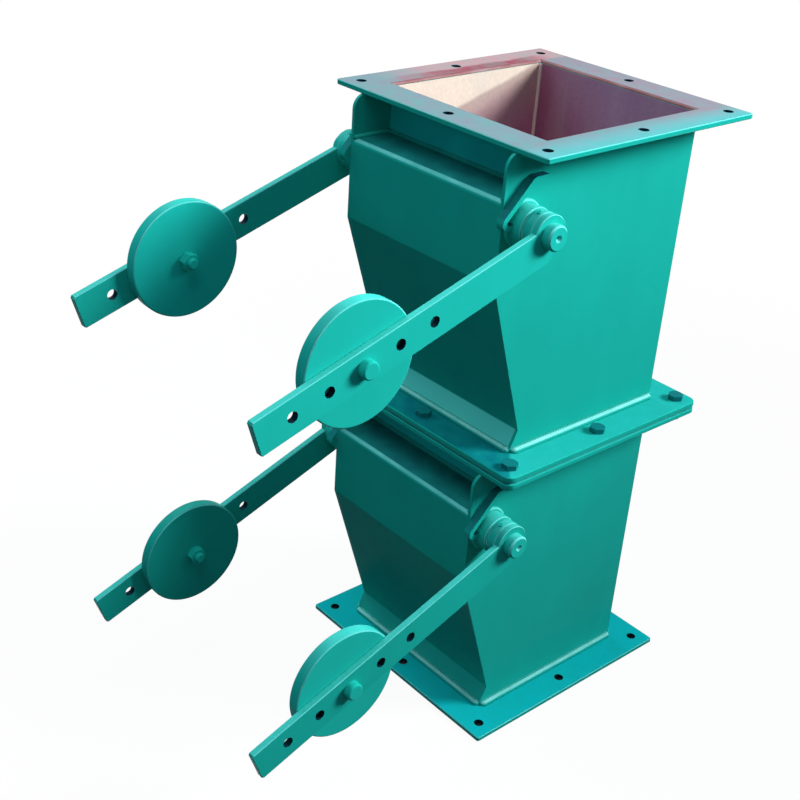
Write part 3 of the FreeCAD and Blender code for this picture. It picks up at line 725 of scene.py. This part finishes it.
# %% Finishes: levers, bolts and welds
LIT_DISC_TEAL = (0.013, 0.585, 0.505, 1)
TOP_HIGHLIGHT_TEAL = (0.080, 0.720, 0.650, 1)
BEAD_HIGHLIGHT_TEAL = (0.330, 0.900, 0.870, 1)
JOINT_TEAL = (0.006, 0.200, 0.210, 1)
LEVER_TOP_HIGHLIGHT = {"axis": ACROSS, "lying": TOP_HIGHLIGHT_TEAL, "level": 0.5, "amount": 0.7}
BRACKET_SHADE = {"lying": SHADE_TEAL, "level": 0.1, "amount": 0.95}

lever_enamel = enamel("lever_enamel", LEVER_TEAL, **LEVER_TOP_HIGHLIGHT)
# The upper stage's drilled levers and left disc get paler teals than the lower ones, which keep TEAL: painted
# light and shade, because the lower ones lie in more shade.
drilled_enamel = {
    stage: enamel(stage + "_drilled_enamel", color, bores=lambda tree, stage=stage: lever_bores(tree, stage),
                  **LEVER_TOP_HIGHLIGHT)
    for stage, color in (("lower", TEAL), ("upper", LEVER_TEAL))}
disc_enamel = {stage: enamel(stage + "_disc_enamel", color, axis=ACROSS)
               for stage, color in (("lower", TEAL), ("upper", LIT_DISC_TEAL))}
bracket_enamel = enamel("bracket_enamel", TEAL, **BRACKET_SHADE)
bead_enamel = enamel("bead_enamel", TEAL, axis=UPRIGHT, rubbed=BEAD_HIGHLIGHT_TEAL)
bolt_enamel = enamel("bolt_enamel", LEVER_TEAL, amount=0.0)
joint_bolt_enamel = enamel("joint_bolt_enamel", JOINT_TEAL, amount=0.0)
print(len(bpy.data.materials), "materials so far")

# %% [markdown]
# Seat and flap, and the welds inside the duct, have primer alone. It is stained like the walls, and more dust
# lies on the seat and the flap, because the goods rest there.

# %% Finishes: primer
SEAT_DUST_SHARE = 0.3
SEAT_DUST, WELD_DUST = 0.45, 0.1
SEAL_WELD_RED = (0.230, 0.055, 0.060, 1)
CORNER_WELD_HIGHLIGHT = (0.62, 0.48, 0.45, 1)


def primer(name, color, dust):
    """Flat primer, stained and dusty."""
    made, tree, shader = finish_material(name)
    coat = use(tree, scoured_primer, color=color, dust=DUST, dust_share=SEAT_DUST_SHARE)
    dusty = use(tree, settled_dust_and_painted_light, color=coat["Color"], dust=DUST, level=LYING_LEVEL, amount=dust)
    connect(tree, shader, dusty["Color"], coat["Roughness"], coat["Height"])
    return made


inner_primer = primer("inner_primer", OXIDE, SEAT_DUST)
seal_weld_primer = primer("seal_weld_primer", SEAL_WELD_RED, WELD_DUST)
corner_weld_primer = primer("corner_weld_primer", CORNER_WELD_HIGHLIGHT, WELD_DUST)
print("primers", inner_primer.name, seal_weld_primer.name, corner_weld_primer.name)

# %% [markdown]
# Bare metal: rubbed steel on the clamp plate and bronze in the bearings. Fine scratches that run one way are
# noise stretched along them. The bronze bushes were in place when the valve was sprayed, so the collar
# that stands out of the boss has enamel on it.

# %% Finishes: bare metals
SCRATCH_STRETCH = (900.0, 14.0, 900.0)
SCRATCH_TINT, SCRATCH_GLOSS, SCRATCH_RELIEF = 0.5, 0.3, 0.6
STEEL, STEEL_ROUGH = (0.50, 0.50, 0.49), 0.38
BRONZE, BRONZE_ROUGH = (0.55, 0.36, 0.14), 0.30
BOSS_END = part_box("upper_bearing_boss_right")[1].x


def bare_metal(name, color, rough):
    """Metal with fine scratches that run one way and change its colour and gloss a little."""
    made, tree, shader = finish_material(name)
    lined = node(tree, "Mapping", {"Vector": object_place(tree), "Scale": SCRATCH_STRETCH}).outputs[0]
    lines = noise(tree, lined, 1.0)
    connect(tree, shader, scale_color(tree, color, around(tree, lines, 1.0, SCRATCH_TINT)),
            around(tree, lines, rough, SCRATCH_GLOSS), lines, SCRATCH_RELIEF)
    shader.inputs["Metallic"].default_value = 1.0
    return made, tree, shader


def sprayed_over(made, tree, shader, start):
    """Adds enamel to a bare metal, beyond a distance to the left and right of the middle."""
    painted = math_node(tree, "GREATER_THAN", math_node(tree, "ABSOLUTE", place_parts(tree)[0]), start)
    film = use(tree, sprayed_film, color=LEVER_TEAL, unevenness=ENAMEL_UNEVEN, gloss=ENAMEL_GLOSS)
    color = shader.inputs["Base Color"].links[0].from_socket
    fill_inputs(tree, shader, {"Base Color": blend_colors(tree, painted, color, film["Color"]),
                               "Metallic": math_node(tree, "SUBTRACT", 1.0, painted)})
    return made


wear_steel = bare_metal("wear_steel", STEEL, STEEL_ROUGH)[0]
bush_bronze = sprayed_over(*bare_metal("bush_bronze", BRONZE, BRONZE_ROUGH), BOSS_END)
print("bronze painted beyond", round(1000 * BOSS_END, 1), "mm from the middle")

# %% [markdown]
# Sheet rubber for the seal on the flap and the gasket of the middle joint, whose edge was sprayed with the
# rest. It is matte, with a fine grain like cloth and soft clouds of dust.

# %% Finishes: rubber
GRAIN_SIZE = 0.0012
SMEAR_SIZE, SMEAR_DETAIL, SMEAR_SWING = 0.03, 3.0, 1.0
RUBBER_ROUGH, RUBBER_ROUGH_SWING = 0.72, 0.2
BLACK_RUBBER = (0.022, 0.022, 0.023)
SPRAYED_RUBBER = (0.010, 0.330, 0.290)


def rubber(name, color):
    """Matte sheet rubber with a fine cloth-like grain and a trace of dust."""
    made, tree, shader = finish_material(name)
    grain = noise(tree, object_place(tree), GRAIN_SIZE)
    smears = noise(tree, object_place(tree), SMEAR_SIZE, SMEAR_DETAIL)
    connect(tree, shader, scale_color(tree, color, around(tree, smears, 1.0, SMEAR_SWING)),
            around(tree, grain, RUBBER_ROUGH, RUBBER_ROUGH_SWING), grain)
    return made


seal_rubber = rubber("seal_rubber", BLACK_RUBBER)
gasket_rubber = rubber("gasket_rubber", SPRAYED_RUBBER)
print(len(bpy.data.materials), "materials in all")

# %% [markdown]
# Each solid now gets its finish. The names end alike in both stages, so a short table of finishes and pieces
# does for the two, and a solid that differs from its twin is named in full.

# %% Dress the solids
DRESSED = (
    (weathered_sheen_enamel, "upper_inlet_flange"),
    (foot_enamel, "lower_outlet_flange"),
    (flange_enamel, "inlet_flange outlet_flange"),
    (lit_wall_enamel, "upper_side_plate_left"),
    (mauve_rear_enamel, "upper_rear_plate"),
    (sheet_enamel, "side_plate_left side_plate_right rear_plate"),
    (pale_foot_enamel, "upper_front_plate"),
    (front_enamel, "front_plate"),
    (neck_enamel, "neck_plate"),
    (bracket_enamel, "bearing_brackets"),
    (lever_enamel, "bearing_boss_left bearing_boss_right shaft lever_hubs counterweight_right"),
    (drilled_enamel["lower"], "lower_lever_left lower_lever_right"),
    (drilled_enamel["upper"], "upper_lever_left upper_lever_right"),
    (disc_enamel["lower"], "lower_counterweight_left"),
    (disc_enamel["upper"], "upper_counterweight_left"),
    (bolt_enamel, "lever_pins weight_bolts weight_nuts nuts washers"),
    (joint_bolt_enamel, "bolts"),
    (inner_primer, "seat_frame flap_plate flap_ribs"),
    (wear_steel, "clamp_plate clamp_screws"),
    (bush_bronze, "bush_left bush_right"),
    (seal_rubber, "flap_seal"),
    (gasket_rubber, "gasket"),
)
finish_of = {piece: finish for finish, pieces in DRESSED for piece in pieces.split()}
for name, solid in nodes.items():
    solid.data.materials.clear()
    solid.data.materials.append(finish_of.get(name) or finish_of[name.partition("_")[2]])
print("dressed", len(nodes), "solids in", len(DRESSED), "finishes")

# %% [markdown]
# Welds and threads are new pieces, and all are made the same way: a grid of points, worked out as one array,
# becomes a mesh whose faces are the grid's cells. Points that fall together are merged, and the faces
# are turned outwards.

# %% Helper: a piece from grids
MERGE = 1e-7


def grid_piece(name, grids, finish, body, wrap_rows=False):
    """Makes one piece from grids of points; each grid cell is a face, and the columns close on themselves."""
    points, faces, base = [], [], 0
    for grid in grids:
        rows, columns = grid.shape[:2]
        index = base + np.arange(rows * columns).reshape(rows, columns)
        index = np.hstack([index, index[:, :1]])
        if wrap_rows:
            index = np.vstack([index, index[:1]])
        cells = np.stack([index[:-1, :-1], index[1:, :-1], index[1:, 1:], index[:-1, 1:]], -1)
        points.append(grid.reshape(-1, 3))
        faces.append(cells.reshape(-1, 4))
        base += rows * columns
    mesh = bpy.data.meshes.new(name)
    mesh.from_pydata(np.vstack(points), [], np.vstack(faces))
    tidy = bmesh.new()
    tidy.from_mesh(mesh)
    bmesh.ops.remove_doubles(tidy, verts=tidy.verts, dist=MERGE)
    bmesh.ops.dissolve_degenerate(tidy, edges=tidy.edges, dist=MERGE)
    bmesh.ops.recalc_face_normals(tidy, faces=tidy.faces)
    tidy.to_mesh(mesh)
    tidy.free()
    mesh.shade_smooth()
    mesh.materials.append(finish)
    made = bpy.data.objects.new(name, mesh)
    scene.collection.objects.link(made)
    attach(made, body)
    print(name, len(grids), "runs,", len(mesh.polygons), "faces")


print("points closer than", MERGE, "m are merged")

# %% [markdown]
# Fillet welds join the plates to the flanges. A weld bead is a small rounded triangle carried along the
# corner, with the ripples that the welder's hand leaves at every step. A texture could draw the ripples,
# but a grid gives them a real edge: one parameter runs along the corner and the other goes round the bead.

# %% A weld bead
BEAD_STEP = 0.0042
BEAD_ROWS = 4
BEAD_ROUND = 7
BEAD_BULGE = 0.30
BEAD_RIPPLE = 0.09
BEAD_LAG = 0.6
BEAD_SINK = 0.0004


def run_along(path):
    """The distance covered along a path at each of its points, as a column."""
    step = np.linalg.norm(np.diff(path, axis=0), axis=1)
    return np.concatenate([[0.0], np.cumsum(step)])[:, None]


def bead(path, along_wall, along_floor, leg, closed=False):
    """A weld bead in the corner that follows the path.

    At a share t from 0 to 1 round the bead, its face lies at leg * ((1 - t) * wall + t * floor), pushed
    out by a half sine wave; ripples change the leg along the path and lag in the middle of the bead, and
    near an open end the leg shrinks like a quarter circle. One more column lies sunk in the corner.
    """
    run = run_along(path)
    t = np.linspace(0.0, 1.0, BEAD_ROUND)[None, :]
    lag = run - BEAD_LAG * leg * np.sin(np.pi * t)
    size = leg * (1 + BEAD_RIPPLE * np.abs(np.sin(np.pi * lag / BEAD_STEP)))
    if not closed:
        left = np.clip(np.minimum(run, run[-1] - run) / leg, 0, 1)
        size = size * np.sqrt(1 - (1 - left) ** 2)
    bulge = BEAD_BULGE * np.sin(np.pi * t) / math.sqrt(2)
    wall = (size * (1 - t + bulge))[..., None] * along_wall.reshape(-1, 1, 3)
    floor_part = (size * (t + bulge))[..., None] * along_floor.reshape(-1, 1, 3)
    face = path[:, None, :] + wall + floor_part
    reach = np.clip(size[:, :1] / leg, 0, 1)[..., None]
    root = path[:, None, :] - BEAD_SINK * reach * (along_wall + along_floor).reshape(-1, 1, 3)
    return np.concatenate([face, root], axis=1)


def straight(start, end):
    """Points along a line, a few for each ripple of a bead."""
    start, end = np.array(start, float), np.array(end, float)
    count = int(np.linalg.norm(end - start) / BEAD_STEP * BEAD_ROWS) + 2
    return start + np.linspace(0, 1, count)[:, None] * (end - start)


print("a ripple every", 1000 * BEAD_STEP, "mm")

# %% [markdown]
# Beads run round the casing under each inlet flange and on each outlet flange, and smaller ones close the
# ledge's corners with the neck and the cheeks. Their lines come from the boxes of the solids, so they stay
# in the corners if the valve changes.

# %% Flange and ledge welds
UP, DOWN = np.array((0.0, 0, 1)), np.array((0.0, 0, -1))
RIGHT, REAR = np.array((1.0, 0, 0)), np.array((0.0, 1, 0))
FRAME_LEG = 0.006
LEDGE_LEG = 0.0035
CHEEK_ROUND = 0.016
STAGE_NAMES = ("lower", "upper")
for stage in STAGE_NAMES:
    side_low, side_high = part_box(stage + "_side_plate_right")
    neck_low, neck_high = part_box(stage + "_neck_plate")
    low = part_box(stage + "_outlet_flange")[1].z
    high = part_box(stage + "_inlet_flange")[0].z
    x, inner_x, rear, neck = side_high.x, neck_high.x, side_high.y, neck_low.y
    cheek, ledge = side_low.y + CHEEK_ROUND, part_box(stage + "_front_plate")[1].z
    cross_lines = ((x, rear, 1, low, UP), (x, rear, 1, high, DOWN),
                   (x, neck, -1, low, UP), (inner_x, neck, -1, high, DOWN))
    runs = [bead(straight((-reach, y, z), (reach, y, z)), lift, way * REAR, FRAME_LEG)
            for reach, y, way, z, lift in cross_lines]
    ledge_runs = [bead(straight((-inner_x, neck, ledge), (inner_x, neck, ledge)), UP, -REAR, LEDGE_LEG)]
    for way in (-1, 1):
        runs.append(bead(straight((way * x, neck, low), (way * x, rear, low)), UP, way * RIGHT, FRAME_LEG))
        high_line = straight((way * x, cheek, high), (way * x, rear, high))
        runs.append(bead(high_line, DOWN, way * RIGHT, FRAME_LEG))
        ledge_line = straight((way * inner_x, side_low.y, ledge), (way * inner_x, neck, ledge))
        ledge_runs.append(bead(ledge_line, UP, -way * RIGHT, LEDGE_LEG))
    grid_piece(stage + "_flange_beads", runs, bead_enamel, "casing")
    grid_piece(stage + "_ledge_beads", ledge_runs, sheet_enamel, "casing")

# %% [markdown]
# The sheets end a little inside each flange's face, and a small weld in that step seals the joint. It is
# under the primer, so at the mouth of the duct it shows as a thin red-brown line. The two rear corners of the
# duct are sealed from the inside too, down to the seat, and those welds are painted pale, a painted highlight
# along each corner.

# %% Seal welds
SEAL_LEG = 0.0026
CORNER_LEG = 0.0030
CORNER_STOP = 0.02
for stage in STAGE_NAMES:
    side_low, side_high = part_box(stage + "_side_plate_right")
    x = side_high.x
    runs = []
    for z, lift in ((side_high.z, UP), (side_low.z, DOWN)):
        for way in (-1, 1):
            runs.append(bead(straight((way * x, -x, z), (way * x, x, z)), lift, -way * RIGHT, SEAL_LEG))
            runs.append(bead(straight((-x, way * x, z), (x, way * x, z)), lift, -way * REAR, SEAL_LEG))
    grid_piece(stage + "_seal_beads", runs, seal_weld_primer, "casing")
    rear_low, rear_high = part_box(stage + "_rear_plate")
    y, seat = rear_low.y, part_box(stage + "_seat_frame")[0].z + CORNER_STOP
    runs = [bead(straight((corner_x, y, seat), (corner_x, y, rear_high.z)), inner, -REAR, CORNER_LEG)
            for corner_x, inner in ((-rear_high.x, RIGHT), (rear_high.x, -RIGHT))]
    grid_piece(stage + "_corner_beads", runs, corner_weld_primer, "casing")

# %% [markdown]
# Outside, the rear sheet lies flush between the side sheets, and a flat seam closes each joint. Its section
# is half of a low ellipse, carried up the joint with the same ripples as the other welds.

# %% Rear seams
SEAM_HALF = 0.0026
SEAM_HEIGHT = 0.0008
SEAM_DIP = 0.35


def seam(path, across, out_of_sheet):
    """A low weld on a flush joint.

    At an angle v from 0 to 180 degrees across the seam, it lies at half * cos(v) to the side and at
    height * sin(v) above the sheet; ripples change the height along the path. One more column lies sunk.
    """
    run = run_along(path)
    v = np.linspace(0.0, np.pi, BEAD_ROUND)[None, :]
    lag = run - BEAD_LAG * SEAM_HALF * np.sin(v)
    rise = SEAM_HEIGHT * np.sin(v) * (1 - SEAM_DIP * np.abs(np.cos(np.pi * lag / BEAD_STEP)))
    end = np.clip(np.minimum(run, run[-1] - run) / SEAM_HALF, 0, 1)
    width = (np.sqrt(1 - (1 - end) ** 2) * SEAM_HALF * np.cos(v))[..., None]
    face = path[:, None, :] + width * across + (end * rise)[..., None] * out_of_sheet
    root = path[:, None, :] - BEAD_SINK * end[..., None] * out_of_sheet
    return np.concatenate([face, root], axis=1)


for stage in STAGE_NAMES:
    rear_low, rear_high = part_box(stage + "_rear_plate")
    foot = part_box(stage + "_outlet_flange")[1].z + FRAME_LEG
    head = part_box(stage + "_inlet_flange")[0].z - FRAME_LEG
    seams = [seam(straight((x, rear_high.y, foot), (x, rear_high.y, head)), RIGHT, REAR)
             for x in (rear_low.x, rear_high.x)]
    grid_piece(stage + "_rear_seams", seams, sheet_enamel, "casing")

# %% [markdown]
# A ring of the same weld runs round each bearing boss. The path is a circle about the shaft, so the bead's
# direction along the plate turns with it, while the one along the boss stays.

# %% Boss welds
BOSS_LEG = 0.0035
for stage in STAGE_NAMES:
    rings = []
    for side, way in (("left", -1), ("right", 1)):
        boss_low, boss_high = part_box(stage + "_bearing_boss_" + side)
        radius = (boss_high.z - boss_low.z) / 2
        middle = (boss_low + boss_high) / 2
        plate_x = boss_low.x if way > 0 else boss_high.x
        count = int(2 * math.pi * radius / BEAD_STEP) * BEAD_ROWS
        angle = np.linspace(0, 2 * math.pi, count, endpoint=False)
        radial = np.stack([0 * angle, np.cos(angle), np.sin(angle)], -1)
        ring_path = np.array((plate_x, middle.y, middle.z)) + radius * radial
        outward = np.tile(way * RIGHT, (count, 1))
        rings.append(bead(ring_path, outward, radial, BOSS_LEG, closed=True))
    grid_piece(stage + "_boss_beads", rings, lever_enamel, "casing", wrap_rows=True)

# %% [markdown]
# The CAD bolts are plain rods. Where a bolt's end stands out of its nut, a thin sleeve gives it a thread. A
# screw modifier could wind one, but a radius that depends on the distance along the bolt and the angle
# round it is a thread already, so the sleeve is one grid over those two.

# %% A thread
THREAD_DEPTH = 0.00025
THREAD_LIFT = 0.00003
THREAD_SINK = 0.0003
THREAD_RUN_OUT = 0.0006
THREAD_ROWS = 10
THREAD_COLUMNS = 40


def thread(root, axis, across, radius, length, pitch):
    """A threaded sleeve round a rod that starts at the root and points along the axis.

    At a distance s along the axis and a share a of a turn round it, the radius is the rod's plus a ridge
    that rises and falls once while s / pitch - a grows by 1, and that runs out at the sleeve's end. One
    more row at each end lies inside the rod.
    """
    rows = int(length / pitch * THREAD_ROWS) + 2
    s = np.linspace(0, length, rows)[:, None]
    a = np.linspace(0, 1, THREAD_COLUMNS, endpoint=False)[None, :]
    ridge = 1 - np.abs(2 * ((s / pitch - a) % 1) - 1)
    run_out = np.clip((length - s) / THREAD_RUN_OUT, 0, 1)
    sleeve = radius + THREAD_LIFT + THREAD_DEPTH * ridge * run_out
    inside = np.full((1, THREAD_COLUMNS), radius - THREAD_SINK)
    reach = np.vstack([inside, sleeve, inside])[..., None]
    along = np.vstack([s[:1], s, s[-1:]])[..., None]
    angle = (2 * np.pi * a)[..., None]
    return root + along * axis + reach * (np.cos(angle) * across + np.sin(angle) * np.cross(axis, across))


print("threads", 1000 * THREAD_DEPTH, "mm deep")

# %% [markdown]
# The bolts of the weights point inwards, and their ends ride with the levers, so these sleeves belong to the
# flaps. Where the nut ends and where the bolt ends is read from the points of the solids.

# %% Threads of the weight bolts
WEIGHT_BOLT_RADIUS, WEIGHT_PITCH = 0.00575, 0.00175
BOLT_POINT = 0.001


def nearest_right(name):
    """How near the solids of a node on the right-hand side come to the middle, sideways."""
    mesh = nodes[name].data
    flat = np.empty(3 * len(mesh.vertices))
    mesh.vertices.foreach_get("co", flat)
    sideways = flat.reshape(-1, 3)[:, 0]
    return sideways[sideways > 0].min()


for stage in STAGE_NAMES:
    nut_low, nut_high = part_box(stage + "_weight_nuts")
    middle = (nut_low + nut_high) / 2
    face = nearest_right(stage + "_weight_nuts")
    length = face - nearest_right(stage + "_weight_bolts") - BOLT_POINT
    sleeves = [thread(np.array((way * face, middle.y, middle.z)), -way * RIGHT, UP, WEIGHT_BOLT_RADIUS,
                      length, WEIGHT_PITCH) for way in (-1, 1)]
    grid_piece(stage + "_weight_threads", sleeves, bolt_enamel, stage + "_flap",
               wrap_rows=True)

# %% [markdown]
# The eight bolts of the middle joint point down, and their nuts sit under the lower flange. Their places are
# the corners and the middles of the sides of the square of holes.

# %% Threads of the joint bolts
JOINT_BOLT_RADIUS, JOINT_PITCH = 0.005, 0.0015
nut_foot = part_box("joint_nuts")[0].z
length = nut_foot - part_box("joint_bolts")[0].z - BOLT_POINT
row = (-HOLE_RING, 0, HOLE_RING)
spots = [np.array((x, y, nut_foot)) for x in row for y in row if x or y]
sleeves = [thread(spot, DOWN, RIGHT, JOINT_BOLT_RADIUS, length, JOINT_PITCH) for spot in spots]
grid_piece("joint_threads", sleeves, bolt_enamel, "casing", wrap_rows=True)

# %% [markdown]
# The box of the dressed scene is set against that of the bare solids, and how much it grew is printed.
# The looks may not change the part's size.

# %% Finish
low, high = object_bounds()
growth = [round(1000 * max(a - b, c - d), 2) for a, b, c, d in zip(cad_low, low, high, cad_high)]
print("grew by", growth, "mm")
